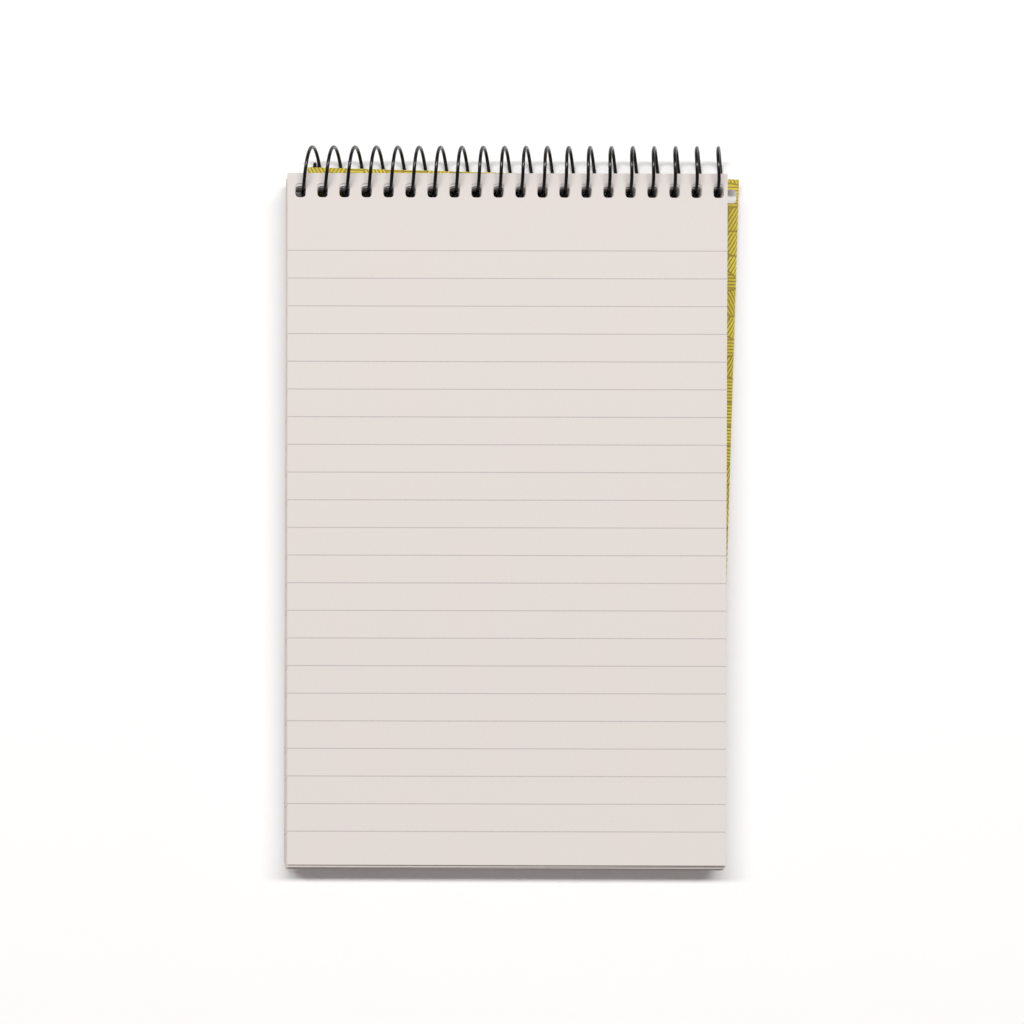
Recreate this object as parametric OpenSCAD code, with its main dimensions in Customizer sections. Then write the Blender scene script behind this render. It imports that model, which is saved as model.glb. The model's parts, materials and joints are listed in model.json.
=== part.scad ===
// Top-bound spiral notebook, lying face up with its front cover folded round to the back.
// X runs along the binding, +Y points from the sheets towards the coil, +Z is up.
// The origin is on the table, under the middle of the notebook.

/* [Sheets] */
// Width of every sheet, along the binding
sheet_w = 127; // [100:1:150]
// Length of every sheet, from the bound edge to the free edge
sheet_l = 200; // [120:1:240]
// Number of ruled leaves
leaf_count = 80; // [60:2:82]
// Thickness of one paper leaf
leaf_t = 0.085; // [0.07:0.005:0.09]
// Air between one leaf and the next
leaf_air = 0.015; // [0.01:0.005:0.02]
// Thickness of the back board
board_t = 1; // [0.6:0.1:1.5]
// Thickness of the card front cover
cover_t = 0.35; // [0.2:0.05:0.5]

/* [Punched holes] */
// Distance from one hole to the next
hole_pitch = 6.35; // [5.25:0.05:6.35]
// Least distance from the middle of the row's first or last hole to the sheet's side, before the offset
hole_side = 3; // [3:0.1:6]
// Width of a hole, along the binding
hole_w = 3.1; // [2.9:0.1:3.6]
// Height of a hole, across the binding
hole_h = 4; // [3.8:0.1:4.4]
// Distance from the bound edge to the centres of the holes
hole_edge = 5; // [4.5:0.1:6]
// Distance that the row of holes stands to the right of the middle of the sheet
hole_offset = 0.6; // [0:0.1:1]

/* [Coil] */
// Diameter of the wire
wire_d = 1.1; // [0.9:0.1:1.2]
// Radius of the coil, to the middle of the wire
coil_r = 7.1; // [6.9:0.1:8.5]
// How much shorter one turn of the coil is than the spacing of the holes
pitch_less = 0.05; // [0:0.01:0.05]
// Inward bend of the wire's left end, which keeps the coil from unwinding
left_bend = 5; // [1:0.1:5]
// Inward bend of the wire's right end
right_bend = 3; // [1:0.1:4]

/* [Fit] */
// How far the middle of a leaf's holes lies beyond the wire
leaf_seat = 0.8; // [0.4:0.1:0.9]
// How far the wire passes to the right of the middle of a leaf's first hole
leaf_side = 0.8; // [0:0.1:0.8]
// Clearance between the last leaf and the back board
board_gap = 0.05; // [0.02:0.01:0.2]
// Clearance between the back board and the folded cover at the free edge
cover_gap = 0.05; // [0.02:0.01:0.2]
// How far the folded cover hangs away from the back board at its holes
cover_droop = 0.6; // [0:0.1:0.8]
// How far the folded cover's first hole stands above its place on the wire, and its last hole below
cover_askew = 0.84; // [0:0.06:0.84]

/* [Hidden] */
// Names of the single leaves, from the top of the pad down, and then of the pairs of leaves under them
SINGLES = 32;
PAIRS = (leaf_count - SINGLES) / 2;

function two_digits(number) = str(number < 10 ? "0" : "", number);
function first_of_pair(pair) = SINGLES + 2 * pair + 1;

// The pad is a stack centred on the coil's axis. A level is a height above that axis.
wire_r = wire_d / 2;
coil_pitch = hole_pitch - pitch_less;
leaf_step = leaf_t + leaf_air;
pad_t = leaf_count * leaf_step + board_gap + board_t;
pad_top = pad_t / 2;
board_level = -pad_t / 2 + board_t / 2;
cover_level = -pad_t / 2 - cover_droop - cover_t / 2;
hole_count = floor((sheet_w - 2 * hole_side) / hole_pitch) + 1;
hole_row_w = (hole_count - 1) * hole_pitch;

// Distance from the coil's axis back to the wire, where the wire crosses a level
function wire_back(level) = sqrt(pow(coil_r, 2) - pow(level, 2));
// Turn of the wire, in degrees, from the axis's own level up to another level
function wire_turn(level) = asin(level / coil_r);
// Distance along the coil that the wire makes in a turn of so many degrees
function creep(degrees) = coil_pitch * degrees / 360;

// Place of the first hole's centre, on a leaf or board that follows the wire through the pad
function row_x(level) = creep(wire_turn(level)) - leaf_side;
function row_y(level) = -wire_back(level) - leaf_seat;
// The cover has gone over the coil with the wire, nearly a whole turn further
cover_x = creep(360 + wire_turn(cover_level)) - leaf_side;
cover_y = -wire_back(cover_level);
cover_skew = asin(cover_askew / (hole_row_w / 2));

// The notebook rests on the coil and on the free edge of the folded cover
coil_outer = coil_r + wire_r;
cover_reach = -cover_y + sheet_l - hole_edge;
cover_tilt = atan((cover_droop - cover_gap) / cover_reach);
cover_drop = pad_t / 2 + cover_gap + cover_t;
pad_tilt = asin(coil_outer / norm([cover_reach, cover_drop])) - atan(cover_drop / cover_reach);

// The frame's origin is under the middle of the whole
pad_reach = coil_r + leaf_seat + sheet_l - hole_edge;
axis_y = (pad_reach * cos(pad_tilt) - coil_outer) / 2;
axis_z = coil_outer;
side_left = sheet_w / 2 + hole_offset - hole_row_w / 2;
side_right = sheet_w - side_left - hole_row_w;
left_most = row_x(board_level) - side_left;
right_most = cover_x + hole_row_w * cos(cover_skew) + side_right + hole_edge * sin(cover_skew);
axis_x = -(left_most + right_most) / 2;

// The wire, as rings of points along its path. Its angle is 0 where it stands in the pad and 90 on top.
TURN_STEP = 15;
WIRE_SIDES = 8;
CURVE_FN = 32;
// The wire's two ends stop under the folded cover, beyond its holes
first_angle = -118;
last_angle = 360 * (hole_count - 1) + 298;
// The turn in which either end bends inwards
LEFT_TURN = 56;
RIGHT_TURN = 36;
ring_count = round((last_angle - first_angle) / TURN_STEP);
ring_step = (last_angle - first_angle) / ring_count;

// Share of a bend that is made, this far past its start
function bend_share(past, turn) = past <= 0 ? 0 : (1 - cos(180 * min(past, turn) / turn)) / 2;
function wire_x(angle) =
    creep(angle)
    + left_bend * bend_share(first_angle + LEFT_TURN - angle, LEFT_TURN)
    - right_bend * bend_share(angle - last_angle + RIGHT_TURN, RIGHT_TURN);
function wire_point(angle) = [wire_x(angle), -coil_r * cos(angle), coil_r * sin(angle)];
function unit(v) = v / norm(v);
function wire_along(angle) = unit(wire_point(angle + 1) - wire_point(angle - 1));
function wire_ring(angle) =
    let (
        along = wire_along(angle),
        outward = [0, -cos(angle), sin(angle)],
        side = unit(cross(along, outward)),
        up = cross(side, along)
    )
    [
        for (k = [0 : WIRE_SIDES - 1])
            wire_point(angle)
            + wire_r * cos(360 * k / WIRE_SIDES) * up
            + wire_r * sin(360 * k / WIRE_SIDES) * side
    ];

module place() {
    translate([axis_x, axis_y, axis_z])
        rotate([pad_tilt, 0, 0])
            children();
}

// The outline of one hole, with round ends
module hole() {
    square([hole_w, hole_h - hole_w], center = true);
    for (end = [-1, 1])
        translate([0, end * (hole_h - hole_w) / 2])
            circle(d = hole_w, $fn = CURVE_FN);
}

// A punched sheet. The centre of its first hole is the origin, and it is centred on z = 0.
module punched_sheet(thickness) {
    translate([0, 0, -thickness / 2])
        linear_extrude(thickness)
            difference() {
                translate([-side_left, hole_edge - sheet_l])
                    square([sheet_w, sheet_l]);
                for (i = [0 : hole_count - 1])
                    translate([i * hole_pitch, 0])
                        hole();
            }
}

// Leaf number 1 is the top one
module leaf(number) {
    level = pad_top - (number - 0.5) * leaf_step;
    color("ivory")
        place()
            translate([row_x(level), row_y(level), level])
                punched_sheet(leaf_t);
}

module back_board() {
    color("darkgray")
        place()
            translate([row_x(board_level), row_y(board_level), board_level])
                punched_sheet(board_t);
}

module front_cover() {
    color("olive")
        place()
            rotate([-cover_tilt, 0, 0])
                translate([cover_x + hole_row_w / 2, cover_y, cover_level])
                    rotate([0, 0, -cover_skew])
                        translate([-hole_row_w / 2, 0, 0])
                            punched_sheet(cover_t);
}

module binding_coil() {
    rings = [for (i = [0 : ring_count]) wire_ring(first_angle + i * ring_step)];
    points = [for (ring = rings, point = ring) point];
    walls = [
        for (i = [0 : ring_count - 1], k = [0 : WIRE_SIDES - 1])
            let (
                near = i * WIRE_SIDES,
                far = near + WIRE_SIDES,
                next = (k + 1) % WIRE_SIDES
            )
            [near + k, near + next, far + next, far + k]
    ];
    first_cap = [for (k = [WIRE_SIDES - 1 : -1 : 0]) k];
    last_cap = [for (k = [0 : WIRE_SIDES - 1]) ring_count * WIRE_SIDES + k];
    color("black")
        place()
            polyhedron(points, concat(walls, [first_cap, last_cap]), convexity = 10);
}

binding_coil();
back_board();
front_cover();
for (i = [1 : SINGLES])
    leaf(i);
for (i = [0 : PAIRS - 1])
    union() {
        leaf(first_of_pair(i));
        leaf(first_of_pair(i) + 1);
    }
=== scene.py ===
"""Looks of a top-bound spiral notebook: punched paper, printed card, board and a wire coil."""

import json
import math
import random

import bpy
from mathutils import Matrix, Vector


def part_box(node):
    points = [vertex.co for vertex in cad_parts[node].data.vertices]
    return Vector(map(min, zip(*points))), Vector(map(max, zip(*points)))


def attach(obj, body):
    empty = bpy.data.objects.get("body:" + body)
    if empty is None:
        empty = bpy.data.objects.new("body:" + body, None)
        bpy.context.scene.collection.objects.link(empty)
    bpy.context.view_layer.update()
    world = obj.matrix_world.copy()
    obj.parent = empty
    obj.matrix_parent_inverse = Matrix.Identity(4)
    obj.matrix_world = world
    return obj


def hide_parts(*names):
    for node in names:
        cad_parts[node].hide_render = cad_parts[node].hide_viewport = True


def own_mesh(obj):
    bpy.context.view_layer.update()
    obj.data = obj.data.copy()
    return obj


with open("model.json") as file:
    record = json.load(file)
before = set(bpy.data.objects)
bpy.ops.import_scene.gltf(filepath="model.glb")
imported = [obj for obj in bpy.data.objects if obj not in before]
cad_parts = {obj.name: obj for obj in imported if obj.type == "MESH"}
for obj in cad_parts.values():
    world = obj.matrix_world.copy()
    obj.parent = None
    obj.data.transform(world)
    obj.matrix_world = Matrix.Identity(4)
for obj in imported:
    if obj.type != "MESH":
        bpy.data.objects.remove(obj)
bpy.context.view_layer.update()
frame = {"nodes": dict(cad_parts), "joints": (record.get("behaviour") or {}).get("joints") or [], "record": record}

MM = 0.001
SEED = 7

# Sizes of the notebook, as the CAD model has them
SHEET_W = 127 * MM
SHEET_L = 200 * MM
LEAF_T = 0.085 * MM
LEAF_STEP = 0.1 * MM
LEAF_COUNT = 80
BOARD_T = 1 * MM
BOARD_GAP = 0.05 * MM
COVER_T = 0.35 * MM
COVER_GAP = 0.05 * MM
COVER_DROOP = 0.6 * MM
HOLE_COUNT = 20
HOLE_PITCH = 6.35 * MM
HOLE_W = 3.1 * MM
HOLE_H = 4 * MM
HOLE_EDGE = 5 * MM
HOLE_OFFSET = 0.6 * MM
CAD_WIRE_R = 0.55 * MM
COIL_R = 7.1 * MM
COIL_PITCH = HOLE_PITCH - 0.05 * MM
LEFT_BEND = 5 * MM
RIGHT_BEND = 3 * MM
LEAF_SEAT = 0.8 * MM
LEAF_SIDE = 0.8 * MM

# Sizes that only the looks have
WIRE_R = 0.5 * MM
HOLE_CORNER = 1.0 * MM
RULE_FIRST = 22.3 * MM
RULE_STEP = 8 * MM
RULE_WIDTH = 0.3 * MM
RULE_COUNT = 22
LEAF_FAN = math.radians(0.15)
LEAF_JITTER = 0.05 * MM
# Spread of a leaf's own turn, in radians for each millimetre of jitter
LEAF_TURN = 0.012
# The last leaf of each clump, whose leaves all lie as far along as that one
CLUMP_ENDS = (2, 7, 14, 24, 38, 55, 80)
# Lift of the top leaf's free edge: a power of the way down, and a share that grows to the right
TOP_LIFT = 0.6 * MM
LIFT_POWER = 6
LIFT_LEFT = 0.75
LIFT_GAIN = 0.5
TOP_CLUMP_UP = 0.4 * MM
COVER_SKEW = math.radians(1.6)
COVER_TWIST = 0.6 * MM
COVER_HANG = 0.2 * MM
COVER_SIDE = 0.95 * MM
COVER_LOW = 0.1 * MM
COVER_TRIM = 0.4 * MM
COVER_HANG_POWER = 1.6
COIL_LEAN = 1.9 * MM
# Where the lean starts and ends in each turn of the wire, and how long it takes, in degrees
LEAN_START, LEAN_GROWS = 30, 120
LEAN_END, LEAN_FADES = 330, 60

# What follows from the sizes, as in the CAD model
HOLE_ROW = (HOLE_COUNT - 1) * HOLE_PITCH
SIDE_LEFT = SHEET_W / 2 + HOLE_OFFSET - HOLE_ROW / 2
SIDE_RIGHT = SHEET_W - SIDE_LEFT - HOLE_ROW
PAD_T = LEAF_COUNT * LEAF_STEP + BOARD_GAP + BOARD_T
PAD_TOP = PAD_T / 2
BOARD_LEVEL = -PAD_T / 2 + BOARD_T / 2
COVER_LEVEL = -PAD_T / 2 - COVER_DROOP - COVER_T / 2


def wire_back(level):
    """Distance from the coil's axis to the wire, where the wire crosses a level."""
    return math.sqrt(COIL_R**2 - level**2)


def wire_turn(level):
    """Turn of the wire, in radians, from the axis's own level up to another level."""
    return math.asin(level / COIL_R)


def creep(angle):
    """Distance along the coil that the wire makes in a turn."""
    return COIL_PITCH * angle / math.tau


def row_x(level):
    """Place along the coil of a sheet's first hole, at its level."""
    return creep(wire_turn(level)) - LEAF_SIDE


def row_y(level):
    """Distance of a sheet's row of holes from the coil's axis, at its level."""
    return -wire_back(level) - LEAF_SEAT


def leaf_level(number):
    """Height above the coil's axis of the middle of a leaf. Number 1 is the top one."""
    return PAD_TOP - (number - 0.5) * LEAF_STEP


COVER_Y = -wire_back(COVER_LEVEL)
COVER_REACH = -COVER_Y + SHEET_L - HOLE_EDGE
COVER_DROP = PAD_T / 2 + COVER_GAP + COVER_T
STAND = math.hypot(COVER_REACH, COVER_DROP)
PAD_TILT = math.asin((COIL_R + CAD_WIRE_R) / STAND) - math.atan(COVER_DROP / COVER_REACH)

# The coil's axis: its line is the joints' own, and its start along X follows from the top leaf
axis_joint = frame["joints"][0]["pos_m"]
AXIS = Vector(
    (
        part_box("leaf_01")[0].x - row_x(leaf_level(1)) + SIDE_LEFT,
        axis_joint[1],
        axis_joint[2],
    )
)
PLACE = Matrix.Translation(AXIS) @ Matrix.Rotation(PAD_TILT, 4, "X")
BODY_OF = {n: b for b, ns in frame["record"]["behaviour"]["bodies"].items() for n in ns}


# ---------------------------------------------------------------- meshes


HALVINGS = 40
# Points that agree to a ten-millionth of a metre are one point
SNAP = 1e7
# From the middle of the row of holes to a little past its first or last hole
HOLES_END = HOLE_ROW / 2 + HOLE_W / 1.9
# Shares of the way out from a hole to its cell, for the rings of points round it
RING_PARTS = (1, 0.5, 0)


def hole_radius(angle, half_w, half_h, corner):
    """Distance from the middle of a rounded rectangle to its outline, in one direction."""
    low, high = 0.0, half_w + half_h
    for _ in range(HALVINGS):
        middle = (low + high) / 2
        x = abs(middle * math.cos(angle)) - (half_w - corner)
        y = abs(middle * math.sin(angle)) - (half_h - corner)
        outside = math.hypot(max(x, 0), max(y, 0)) + min(max(x, y), 0) - corner
        low, high = (middle, high) if outside < 0 else (low, middle)
    return low


def punched_grid(side_steps, row_edges):
    """Points and quads of a flat punched sheet whose first hole is at the origin.

    Each hole stands in a cell with side_steps points along each side. row_edges are the
    heights of the rows of quads below the cells, from the top down."""
    index = {}
    points = []
    quads = []

    def point(x, y):
        key = (round(x * SNAP), round(y * SNAP))
        if key not in index:
            index[key] = len(points)
            points.append((x, y))
        return index[key]

    top, bottom = HOLE_EDGE, -HOLE_EDGE
    columns = []
    for i in range(HOLE_COUNT):
        centre = i * HOLE_PITCH
        left = centre - HOLE_PITCH / 2 if i else -SIDE_LEFT
        right = centre + HOLE_PITCH / 2 if i < HOLE_COUNT - 1 else centre + SIDE_RIGHT
        share = [k / side_steps for k in range(side_steps)]
        loop = [(right + (left - right) * s, top) for s in share]
        loop += [(left, top + (bottom - top) * s) for s in share]
        loop += [(left + (right - left) * s, bottom) for s in share]
        loop += [(right, bottom + (top - bottom) * s) for s in share]
        columns += [left + (right - left) * s for s in share]
        rings = []
        for part in RING_PARTS:
            ring = []
            for x, y in loop:
                angle = math.atan2(y, x - centre)
                edge = hole_radius(angle, HOLE_W / 2, HOLE_H / 2, HOLE_CORNER)
                hole_x = centre + edge * math.cos(angle)
                hole_y = edge * math.sin(angle)
                ring.append(
                    point(hole_x + (x - hole_x) * part, hole_y + (y - hole_y) * part)
                )
            rings.append(ring)
        count = len(loop)
        for outer, inner in zip(rings, rings[1:]):
            for k in range(count):
                after = (k + 1) % count
                quads.append((outer[k], outer[after], inner[after], inner[k]))
    columns.append(HOLE_ROW + SIDE_RIGHT)
    for upper, lower in zip([bottom] + row_edges, row_edges):
        for a, b in zip(columns, columns[1:]):
            quads.append(
                (point(a, upper), point(a, lower), point(b, lower), point(b, upper))
            )
    return points, quads


def rows_down(count, gather=1.0):
    """Heights of rows from below the holes to the free edge.

    A gather over 1 crowds them at that edge."""
    start, end = -HOLE_EDGE, HOLE_EDGE - SHEET_L
    return [start + (end - start) * (k / count) ** (1 / gather) for k in range(1, count + 1)]


def outline_edges(quads):
    """The directed edges that only one quad has."""
    used = {}
    for quad in quads:
        for a, b in zip(quad, quad[1:] + quad[:1]):
            used[(a, b)] = True
    return [(a, b) for a, b in used if (b, a) not in used]


def sheet_into(verts, faces, uvs, kinds, grid, thickness, shape):
    """Adds one sheet of real thickness.

    shape turns (x, y) on the sheet into a point at mid-thickness. kinds gets 0 for the upper face,
    1 for the lower one, 2 for the outer edge and 3 for the walls of the holes."""
    points, quads = grid
    base = len(verts)
    count = len(points)
    for side in (0.5, -0.5):
        for x, y in points:
            verts.append(PLACE @ (Vector(shape(x, y)) + Vector((0, 0, side * thickness))))

    def uv(i):
        x, y = points[i]
        return ((x + SIDE_LEFT) / SHEET_W, (y - HOLE_EDGE + SHEET_L) / SHEET_L)

    for quad in quads:
        faces.append([base + i for i in quad])
        uvs.append([uv(i) for i in quad])
        kinds.append(0)
        back = quad[::-1]
        faces.append([base + count + i for i in back])
        uvs.append([uv(i) for i in back])
        kinds.append(1)
    for a, b in outline_edges(quads):
        faces.append([base + b, base + a, base + count + a, base + count + b])
        uvs.append([uv(b), uv(a), uv(a), uv(b)])
        x, y = points[a]
        in_hole = abs(y) < HOLE_EDGE / 2 and abs(x - HOLE_ROW / 2) < HOLES_END
        kinds.append(3 if in_hole else 2)


def mesh_piece(name, verts, faces, uvs=None, kinds=None, smooth=True):
    """A new object, with a UV pair for each corner of a face and a kind for each face."""
    mesh = bpy.data.meshes.new(name)
    mesh.from_pydata(verts, [], faces)
    if uvs:
        layer = mesh.uv_layers.new(name="sheet")
        flat = [c for face in uvs for pair in face for c in pair]
        layer.data.foreach_set("uv", flat)
    if kinds:
        mesh.polygons.foreach_set("material_index", kinds)
    mesh.polygons.foreach_set("use_smooth", [smooth] * len(mesh.polygons))
    mesh.update()
    piece = bpy.data.objects.new(name, mesh)
    bpy.context.scene.collection.objects.link(piece)
    return piece


def finish_piece(piece, node, materials, creeps=0):
    """Gives a piece its body and materials, and hides the CAD part that it stands for.

    creeps is the way along X that the piece takes as it turns over: 1, -1 or 0 for none."""
    for material in materials:
        piece.data.materials.append(material)
    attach(piece, BODY_OF[node])
    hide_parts(node)
    if creeps:
        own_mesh(piece)


# ---------------------------------------------------------------- materials


class Nodes:
    """A short way to write a material's node tree."""

    def __init__(self, name):
        self.material = bpy.data.materials.new(name)
        self.material.use_nodes = True
        self.tree = self.material.node_tree
        self.shader = self.tree.nodes["Principled BSDF"]

    def add(self, kind, inputs=None, **settings):
        node = self.tree.nodes.new(kind)
        for key, value in settings.items():
            setattr(node, key, value)
        for key, value in (inputs or {}).items():
            self.feed(node.inputs[key], value)
        return node

    def feed(self, socket, value):
        if isinstance(value, bpy.types.NodeSocket):
            self.tree.links.new(value, socket)
        else:
            socket.default_value = value

    def math(self, operation, a, b=0.0, c=0.0):
        node = self.add("ShaderNodeMath", {0: a, 1: b, 2: c}, operation=operation)
        return node.outputs[0]

    def mix(self, share, a, b):
        """Two colours mixed. The node's inputs 6 and 7 and its output 2 are the colour ones."""
        node = self.add("ShaderNodeMix", data_type="RGBA")
        self.feed(node.inputs[0], share)
        self.feed(node.inputs[6], a)
        self.feed(node.inputs[7], b)
        return node.outputs[2]

    def noise(self, vector, scale, detail=2.0, roughness=0.5):
        node = self.add(
            "ShaderNodeTexNoise",
            {"Vector": vector, "Scale": scale, "Detail": detail, "Roughness": roughness},
        )
        return node.outputs["Fac"]

    def ramp(self, value, low, high, to_low=0.0, to_high=1.0):
        node = self.add(
            "ShaderNodeMapRange",
            {
                "Value": value,
                "From Min": low,
                "From Max": high,
                "To Min": to_low,
                "To Max": to_high,
            },
        )
        return node.outputs[0]

    def sheet_mm(self):
        """Place on the sheet in millimetres, from its lower left corner."""
        uv = self.add("ShaderNodeUVMap", uv_map="sheet").outputs[0]
        scale = (SHEET_W / MM, SHEET_L / MM, 1)
        return self.stretch(uv, scale)

    def stretch(self, vector, scale):
        node = self.add("ShaderNodeVectorMath", {0: vector, 1: scale}, operation="MULTIPLY")
        return node.outputs[0]

    def bump(self, height, strength, distance):
        node = self.add(
            "ShaderNodeBump", {"Height": height, "Strength": strength, "Distance": distance}
        )
        self.tree.links.new(node.outputs[0], self.shader.inputs["Normal"])

    def surface(self, colour, roughness, **sockets):
        self.feed(self.shader.inputs["Base Color"], colour)
        self.feed(self.shader.inputs["Roughness"], roughness)
        for key, value in sockets.items():
            self.feed(self.shader.inputs[key.replace("_", " ")], value)
        return self.material


def srgb(red, green, blue):
    """A colour given in 0-255 sRGB, as the linear colour that a shader takes."""

    def linear(value):
        share = value / 255
        return share / 12.92 if share <= 0.04045 else ((share + 0.055) / 1.055) ** 2.4

    return (linear(red), linear(green), linear(blue), 1)


def paper_height(n, place):
    """Fibres and a slow cockle, for a bump."""
    fibre = n.noise(place, 5.5, 4, 0.7)
    cockle = n.noise(place, 0.05, 2)
    return n.math("ADD", n.math("MULTIPLY", fibre, 0.35), n.math("MULTIPLY", cockle, 2.0))


def ruled_paper():
    n = Nodes("ruled_paper")
    place = n.sheet_mm()
    up = n.add("ShaderNodeSeparateXYZ", {0: place}).outputs[1]
    down = n.math("SUBTRACT", SHEET_L / MM, up)
    steps = n.math("DIVIDE", n.math("SUBTRACT", down, RULE_FIRST / MM), RULE_STEP / MM)
    off = n.math("ABSOLUTE", n.math("SUBTRACT", steps, n.math("ROUND", steps)))
    half = RULE_WIDTH / RULE_STEP / 2
    on_line = n.ramp(off, half * 0.7, half * 1.3, 1.0, 0.0)
    from_middle = n.math("ABSOLUTE", n.math("SUBTRACT", steps, (RULE_COUNT - 1) / 2))
    ruled = n.math("LESS_THAN", from_middle, RULE_COUNT / 2)
    grain = n.noise(place, 2.2, 3, 0.65)
    worn = n.ramp(grain, 0.3, 0.6, 0.6, 1.0)
    ink = n.math("MULTIPLY", on_line, n.math("MULTIPLY", ruled, worn))
    slow = n.noise(place, 0.045, 2)
    sheet = n.mix(n.ramp(slow, 0.35, 0.65), srgb(223, 217, 214), srgb(221, 217, 213))
    fibre = n.noise(place, 1.6, 5, 0.7)
    sheet = n.mix(n.ramp(fibre, 0.3, 0.72, 0.0, 0.3), sheet, srgb(211, 205, 201))
    colour = n.mix(ink, sheet, srgb(186, 181, 181))
    n.bump(paper_height(n, place), 0.25, 0.05 * MM)
    return n.surface(colour, n.ramp(fibre, 0.2, 0.8, 0.78, 0.92), Specular_IOR_Level=0.25)


def paper_edge(name, dark, light):
    n = Nodes(name)
    place = n.add("ShaderNodeTexCoord").outputs["Object"]
    grain = n.noise(place, 2500, 3)
    colour = n.mix(grain, dark, light)
    n.bump(grain, 0.3, 0.04 * MM)
    return n.surface(colour, n.ramp(grain, 0.2, 0.8, 0.8, 0.95), Specular_IOR_Level=0.2)


def grey_board():
    n = Nodes("grey_board")
    place = n.sheet_mm()
    fibre = n.noise(n.stretch(place, (1, 3.5, 1)), 0.9, 6, 0.72)
    fleck = n.noise(place, 2.6, 2)
    colour = n.mix(n.ramp(fibre, 0.3, 0.7), srgb(150, 143, 132), srgb(172, 165, 153))
    colour = n.mix(n.ramp(fleck, 0.64, 0.72, 0.0, 0.6), colour, srgb(110, 104, 96))
    n.bump(fibre, 0.5, 0.12 * MM)
    return n.surface(colour, n.ramp(fibre, 0.2, 0.8, 0.82, 0.95), Specular_IOR_Level=0.2)


def card_back():
    n = Nodes("card_back")
    place = n.sheet_mm()
    fibre = n.noise(place, 1.3, 5, 0.7)
    slow = n.noise(place, 0.05, 2)
    colour = n.mix(n.ramp(fibre, 0.3, 0.7), srgb(206, 202, 192), srgb(220, 216, 207))
    colour = n.mix(n.ramp(slow, 0.4, 0.6, 0.0, 0.3), colour, srgb(200, 193, 178))
    n.bump(fibre, 0.35, 0.06 * MM)
    return n.surface(colour, n.ramp(fibre, 0.2, 0.8, 0.7, 0.85), Specular_IOR_Level=0.3)


# Size of the cover's printed patches and the distance between their strokes, in millimetres
HATCH_CELL = 6.2
HATCH_STEP = 0.95


def printed_card():
    """Card printed with patches of straight strokes, each patch in one of three directions."""
    n = Nodes("printed_card")
    place = n.sheet_mm()
    settings = {"Vector": place, "Scale": 1 / HATCH_CELL, "Randomness": 0.55}
    patch = n.add("ShaderNodeTexVoronoi", settings, voronoi_dimensions="2D")
    border = n.add(
        "ShaderNodeTexVoronoi", settings, voronoi_dimensions="2D", feature="DISTANCE_TO_EDGE"
    )
    tone = n.add("ShaderNodeSeparateColor", {0: patch.outputs["Color"]})
    third = n.math("FLOOR", n.math("MULTIPLY", tone.outputs[0], 2.999))
    angle = n.math("MULTIPLY_ADD", third, math.pi / 3, math.pi / 2)
    turned = n.add(
        "ShaderNodeVectorRotate", {"Vector": place, "Angle": angle}, rotation_type="Z_AXIS"
    )
    across = n.add("ShaderNodeSeparateXYZ", {0: turned.outputs[0]}).outputs[0]
    phase = n.math("DIVIDE", across, HATCH_STEP)
    wobble = n.math("MULTIPLY", n.noise(place, 0.9, 2), 0.2)
    wave = n.math("PINGPONG", n.math("ADD", phase, wobble), 0.5)
    stroke = n.ramp(wave, 0.15, 0.24, 1.0, 0.0)
    seam = n.ramp(border.outputs["Distance"], 0.025, 0.06, 0.9, 0.0)
    worn = n.ramp(n.noise(place, 2.5, 3), 0.25, 0.6, 0.7, 1.0)
    ink = n.math("MULTIPLY", n.math("MAXIMUM", stroke, seam), worn)
    yellow = n.mix(tone.outputs[1], srgb(228, 210, 70), srgb(208, 190, 48))
    olive = n.mix(tone.outputs[2], srgb(128, 116, 8), srgb(150, 122, 22))
    fibre = n.noise(place, 1.8, 4, 0.7)
    n.bump(n.math("ADD", fibre, n.math("MULTIPLY", ink, 0.3)), 0.25, 0.05 * MM)
    return n.surface(
        n.mix(ink, yellow, olive),
        n.ramp(fibre, 0.2, 0.8, 0.42, 0.58),
        Specular_IOR_Level=0.4,
        Coat_Weight=0.12,
        Coat_Roughness=0.35,
    )


def coil_wire():
    n = Nodes("coil_wire")
    place = n.add("ShaderNodeTexCoord").outputs["Object"]
    grain = n.noise(place, 1800, 3)
    scuff = n.noise(place, 260, 4, 0.7)
    colour = n.mix(n.ramp(scuff, 0.55, 0.75, 0.0, 0.5), srgb(9, 8, 9), srgb(24, 22, 23))
    roughness = n.ramp(scuff, 0.3, 0.75, 0.18, 0.32)
    n.bump(grain, 0.15, 0.02 * MM)
    return n.surface(
        colour, roughness, Coat_Weight=0.1, Coat_Roughness=0.12, Specular_IOR_Level=0.32
    )


# ---------------------------------------------------------------- pieces

random.seed(SEED)
# Painted shade: the walls of the leaves' holes get a dark paper colour that stands in for the shadow deep in the
# holes and in the gaps between the leaves.
painted_hole_shade = paper_edge("hole_wall_painted_shade", srgb(70, 65, 62), srgb(98, 92, 88))
paper = ruled_paper()
edge = paper_edge("paper_edge", srgb(206, 199, 194), srgb(228, 223, 219))
board = grey_board()
printed = printed_card()
card = card_back()
wire = coil_wire()


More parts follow.
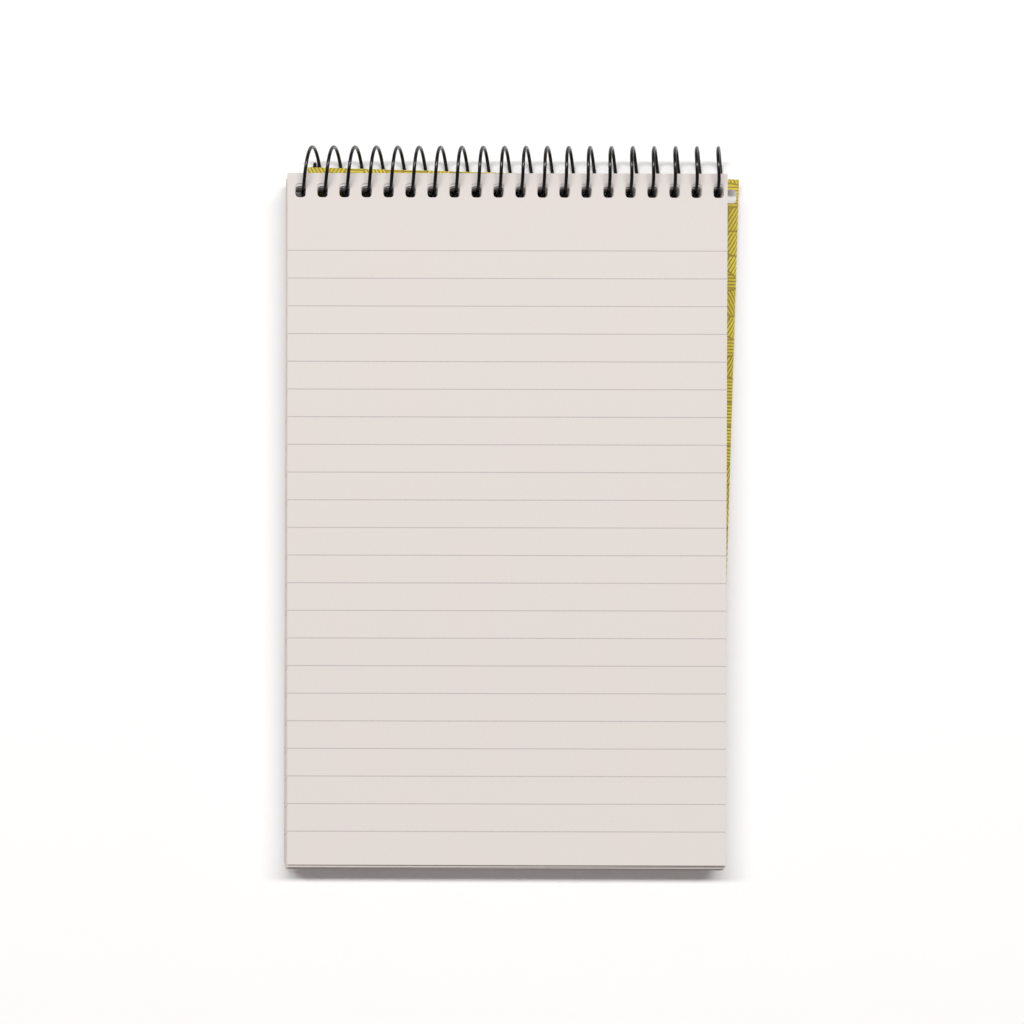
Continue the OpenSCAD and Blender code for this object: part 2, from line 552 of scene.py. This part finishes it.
def leaf_shape(number):
    """How one leaf lies: on the wire, a little turned, and lifted at its free edge if on top."""
    level = leaf_level(number)
    depth = (number - 1) / LEAF_COUNT
    turn = -LEAF_FAN * depth + random.gauss(0, LEAF_TURN) * LEAF_JITTER / MM
    jump_x = random.uniform(-1, 1) * LEAF_JITTER
    jump_y = random.uniform(-1, 1) * LEAF_JITTER
    lift = 0
    if number == 1:
        turn, lift = 0, TOP_LIFT
    clump_end = next(end for end in CLUMP_ENDS if number <= end)
    clump_up = TOP_CLUMP_UP if clump_end == CLUMP_ENDS[0] else 0
    seat_y = row_y(leaf_level(clump_end)) + clump_up
    middle = HOLE_ROW / 2
    cos, sin = math.cos(turn), math.sin(turn)
    reach = SHEET_L - HOLE_EDGE

    def shape(x, y):
        down = max(-y, 0) / reach
        rise = lift * down**LIFT_POWER * (LIFT_LEFT + LIFT_GAIN * x / SHEET_W)
        turned_x = middle + (x - middle) * cos - y * sin
        turned_y = (x - middle) * sin + y * cos
        return (
            row_x(level) + turned_x + jump_x,
            seat_y + turned_y + jump_y,
            level + rise,
        )

    return shape


def make_leaves():
    fine = punched_grid(6, rows_down(40, 1.5))
    plain = punched_grid(4, rows_down(5))
    for node in frame["nodes"]:
        if not node.startswith(("leaf_", "leaves_")):
            continue
        numbers = [int(word) for word in node.split("_")[1:]]
        parts = ([], [], [], [])
        for number in numbers:
            grid = fine if number == 1 else plain
            sheet_into(*parts, grid, LEAF_T, leaf_shape(number))
        piece = mesh_piece(f"paper_{node}", *parts, smooth=False)
        # The fourth material, for the walls of the holes, is the painted hole shade.
        finish_piece(piece, node, [paper, paper, edge, painted_hole_shade], creeps=1)


def make_board():
    parts = ([], [], [], [])

    def shape(x, y):
        return (row_x(BOARD_LEVEL) + x, row_y(BOARD_LEVEL) + y, BOARD_LEVEL)

    sheet_into(*parts, punched_grid(6, rows_down(12)), BOARD_T, shape)
    piece = mesh_piece("board_sheet", *parts, smooth=False)
    finish_piece(piece, "back_board", [board, board, board, board])


def make_cover():
    """The folded card hangs lower on the wire at its left end, and so lies more askew there."""
    parts = ([], [], [], [])
    middle = HOLE_ROW / 2
    row_level = COVER_LEVEL - COVER_HANG
    row_side = creep(math.tau + wire_turn(row_level)) - COVER_SIDE
    flat_level = -PAD_T / 2 - COVER_GAP - COVER_T / 2
    trimmed_from = HOLE_ROW + SIDE_RIGHT - 0.1 * MM
    reach = SHEET_L - HOLE_EDGE
    cos, sin = math.cos(COVER_SKEW), math.sin(COVER_SKEW)

    def shape(x, y):
        across = (x - middle) / middle
        down = min(max(-y, 0) / reach, 1)
        droop = row_level + COVER_TWIST * across - flat_level
        hang = droop * (1 - down) ** COVER_HANG_POWER
        trim = COVER_TRIM if x > trimmed_from else 0
        return (
            row_side + middle + (x - trim - middle) * cos + y * sin,
            -wire_back(row_level) - COVER_LOW - (x - middle) * sin + y * cos,
            flat_level + hang,
        )

    sheet_into(*parts, punched_grid(6, rows_down(24)), COVER_T, shape)
    piece = mesh_piece("cover_card", *parts, smooth=False)
    finish_piece(piece, "front_cover", [printed, card, card, card], creeps=-1)


WIRE_STEP = math.radians(7.5)
WIRE_SIDES = 16
# The wire's rounded ends: rings, depth and the tip's radius, both as shares of the wire's radius
CAP_RINGS = 4
CAP_DEPTH = 0.6
CAP_TIP = 0.05
FIRST_ANGLE = math.radians(-118)
LAST_ANGLE = math.tau * (HOLE_COUNT - 1) + math.radians(298)
LEFT_TURN = math.radians(56)
RIGHT_TURN = math.radians(36)


def bend_share(past, turn):
    """Share of an end's bend that is made, this far past its start."""
    if past <= 0:
        return 0
    return (1 - math.cos(math.pi * min(past, turn) / turn)) / 2


def lean_share(angle):
    """Share of the coil's lean at an angle: none in the pad, all of it beyond the sheets."""
    turn = math.degrees(angle) % 360
    grown = max((turn - LEAN_START) / LEAN_GROWS, 0)
    left = max((LEAN_END - turn) / LEAN_FADES, 0)
    share = min(grown, left, 1)
    return share * share * (3 - 2 * share)


def wire_point(angle):
    """A point in the middle of the wire. The angle is 0 where the wire stands in the pad."""
    along = angle / math.tau / (HOLE_COUNT - 1)
    x = (
        creep(angle)
        - COIL_LEAN * along * lean_share(angle)
        + LEFT_BEND * bend_share(FIRST_ANGLE + LEFT_TURN - angle, LEFT_TURN)
        - RIGHT_BEND * bend_share(angle - LAST_ANGLE + RIGHT_TURN, RIGHT_TURN)
    )
    return Vector((x, -COIL_R * math.cos(angle), COIL_R * math.sin(angle)))


def wire_ring(angle, radius, ahead=0.0):
    """One ring of the wire's skin. ahead moves it along the wire, for the rounded ends."""
    nudge = 0.01
    along = (wire_point(angle + nudge) - wire_point(angle - nudge)).normalized()
    outward = Vector((0, -math.cos(angle), math.sin(angle)))
    side = along.cross(outward).normalized()
    up = side.cross(along)
    centre = wire_point(angle) + along * ahead
    turns = [math.tau * k / WIRE_SIDES for k in range(WIRE_SIDES)]
    return [PLACE @ (centre + radius * (math.cos(t) * up + math.sin(t) * side)) for t in turns]


def cap_ring(angle, slope, way):
    """One ring of a rounded end. slope is 0 at the wire's full radius and 90 degrees at the tip."""
    radius = WIRE_R * max(math.cos(slope), CAP_TIP)
    return wire_ring(angle, radius, way * WIRE_R * CAP_DEPTH * math.sin(slope))


def make_coil():
    rings = []
    for k in range(CAP_RINGS):
        rings.append(cap_ring(FIRST_ANGLE, math.pi / 2 * (1 - k / CAP_RINGS), -1))
    steps = round((LAST_ANGLE - FIRST_ANGLE) / WIRE_STEP)
    for k in range(steps + 1):
        rings.append(wire_ring(FIRST_ANGLE + (LAST_ANGLE - FIRST_ANGLE) * k / steps, WIRE_R))
    for k in range(1, CAP_RINGS + 1):
        rings.append(cap_ring(LAST_ANGLE, math.pi / 2 * k / CAP_RINGS, 1))
    verts = [v for ring in rings for v in ring]
    faces = []
    for i in range(len(rings) - 1):
        for k in range(WIRE_SIDES):
            after = (k + 1) % WIRE_SIDES
            near, far = i * WIRE_SIDES, (i + 1) * WIRE_SIDES
            faces.append((near + k, near + after, far + after, far + k))
    last = (len(rings) - 1) * WIRE_SIDES
    faces.append(tuple(range(WIRE_SIDES - 1, -1, -1)))
    faces.append(tuple(last + k for k in range(WIRE_SIDES)))
    piece = mesh_piece("coil_of_wire", verts, faces)
    finish_piece(piece, "binding_coil", [wire])


make_coil()
make_cover()
make_board()
make_leaves()


# ---------------------------------------------------------------- floor, light, camera


FLOOR_HALF = 4.0
FLOOR_DARK = (0.96, 0.972, 0.975, 1)
FLOOR_LIGHT = (0.972, 0.983, 0.986, 1)


def make_floor():
    size = FLOOR_HALF
    mesh = bpy.data.meshes.new("floor")
    corners = [(-size, -size, 0), (size, -size, 0), (size, size, 0), (-size, size, 0)]
    mesh.from_pydata(corners, [], [(0, 1, 2, 3)])
    floor = bpy.data.objects.new("floor", mesh)
    bpy.context.scene.collection.objects.link(floor)
    n = Nodes("floor")
    place = n.add("ShaderNodeTexCoord").outputs["Object"]
    grain = n.noise(place, 30, 3)
    mesh.materials.append(n.surface(n.mix(grain, FLOOR_DARK, FLOOR_LIGHT), 0.9))


KEY_DISTANCE = 3.2
KEY_ELEVATION = math.radians(61)
KEY_POWER = 131
KEY_LENGTH = 5.0
KEY_WIDTH = 0.4
KEY_COLOUR = (1.0, 0.995, 0.985)
FILL_COLOUR = (1.0, 0.9, 0.89, 1)
FILL_STRENGTH = 0.25


def make_light():
    """A long strip light beyond the coil, as soft as a tube along X, and an even warm fill."""
    light = bpy.data.lights.new("key", "AREA")
    light.shape = "RECTANGLE"
    light.size = KEY_LENGTH
    light.size_y = KEY_WIDTH
    light.energy = KEY_POWER
    light.color = KEY_COLOUR
    key = bpy.data.objects.new("key", light)
    away = Vector((0, math.cos(KEY_ELEVATION), math.sin(KEY_ELEVATION)))
    key.location = away * KEY_DISTANCE
    key.rotation_euler = (-away).to_track_quat("-Z", "Y").to_euler()
    bpy.context.scene.collection.objects.link(key)
    world = bpy.data.worlds.new("studio")
    world.use_nodes = True
    background = world.node_tree.nodes["Background"]
    background.inputs["Color"].default_value = FILL_COLOUR
    background.inputs["Strength"].default_value = FILL_STRENGTH
    bpy.context.scene.world = world


CAMERA_DISTANCE = 0.6
CAMERA_LENS = 73.1
SENSOR_WIDTH = 36
CAMERA_ROLL = math.radians(0.12)
VIEW_CENTRE = (-0.0003, -0.0012)


def make_camera():
    """Straight above the page, which fills two thirds of the picture's height."""
    data = bpy.data.cameras.new("camera")
    data.lens = CAMERA_LENS
    data.sensor_width = SENSOR_WIDTH
    camera = bpy.data.objects.new("camera", data)
    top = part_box("leaf_01")[1].z
    camera.location = (VIEW_CENTRE[0], VIEW_CENTRE[1], top + CAMERA_DISTANCE)
    camera.rotation_euler = (0, 0, CAMERA_ROLL)
    bpy.context.scene.collection.objects.link(camera)
    bpy.context.scene.camera = camera


make_floor()
make_light()
make_camera()
bpy.context.scene.view_settings.view_transform = "Standard"
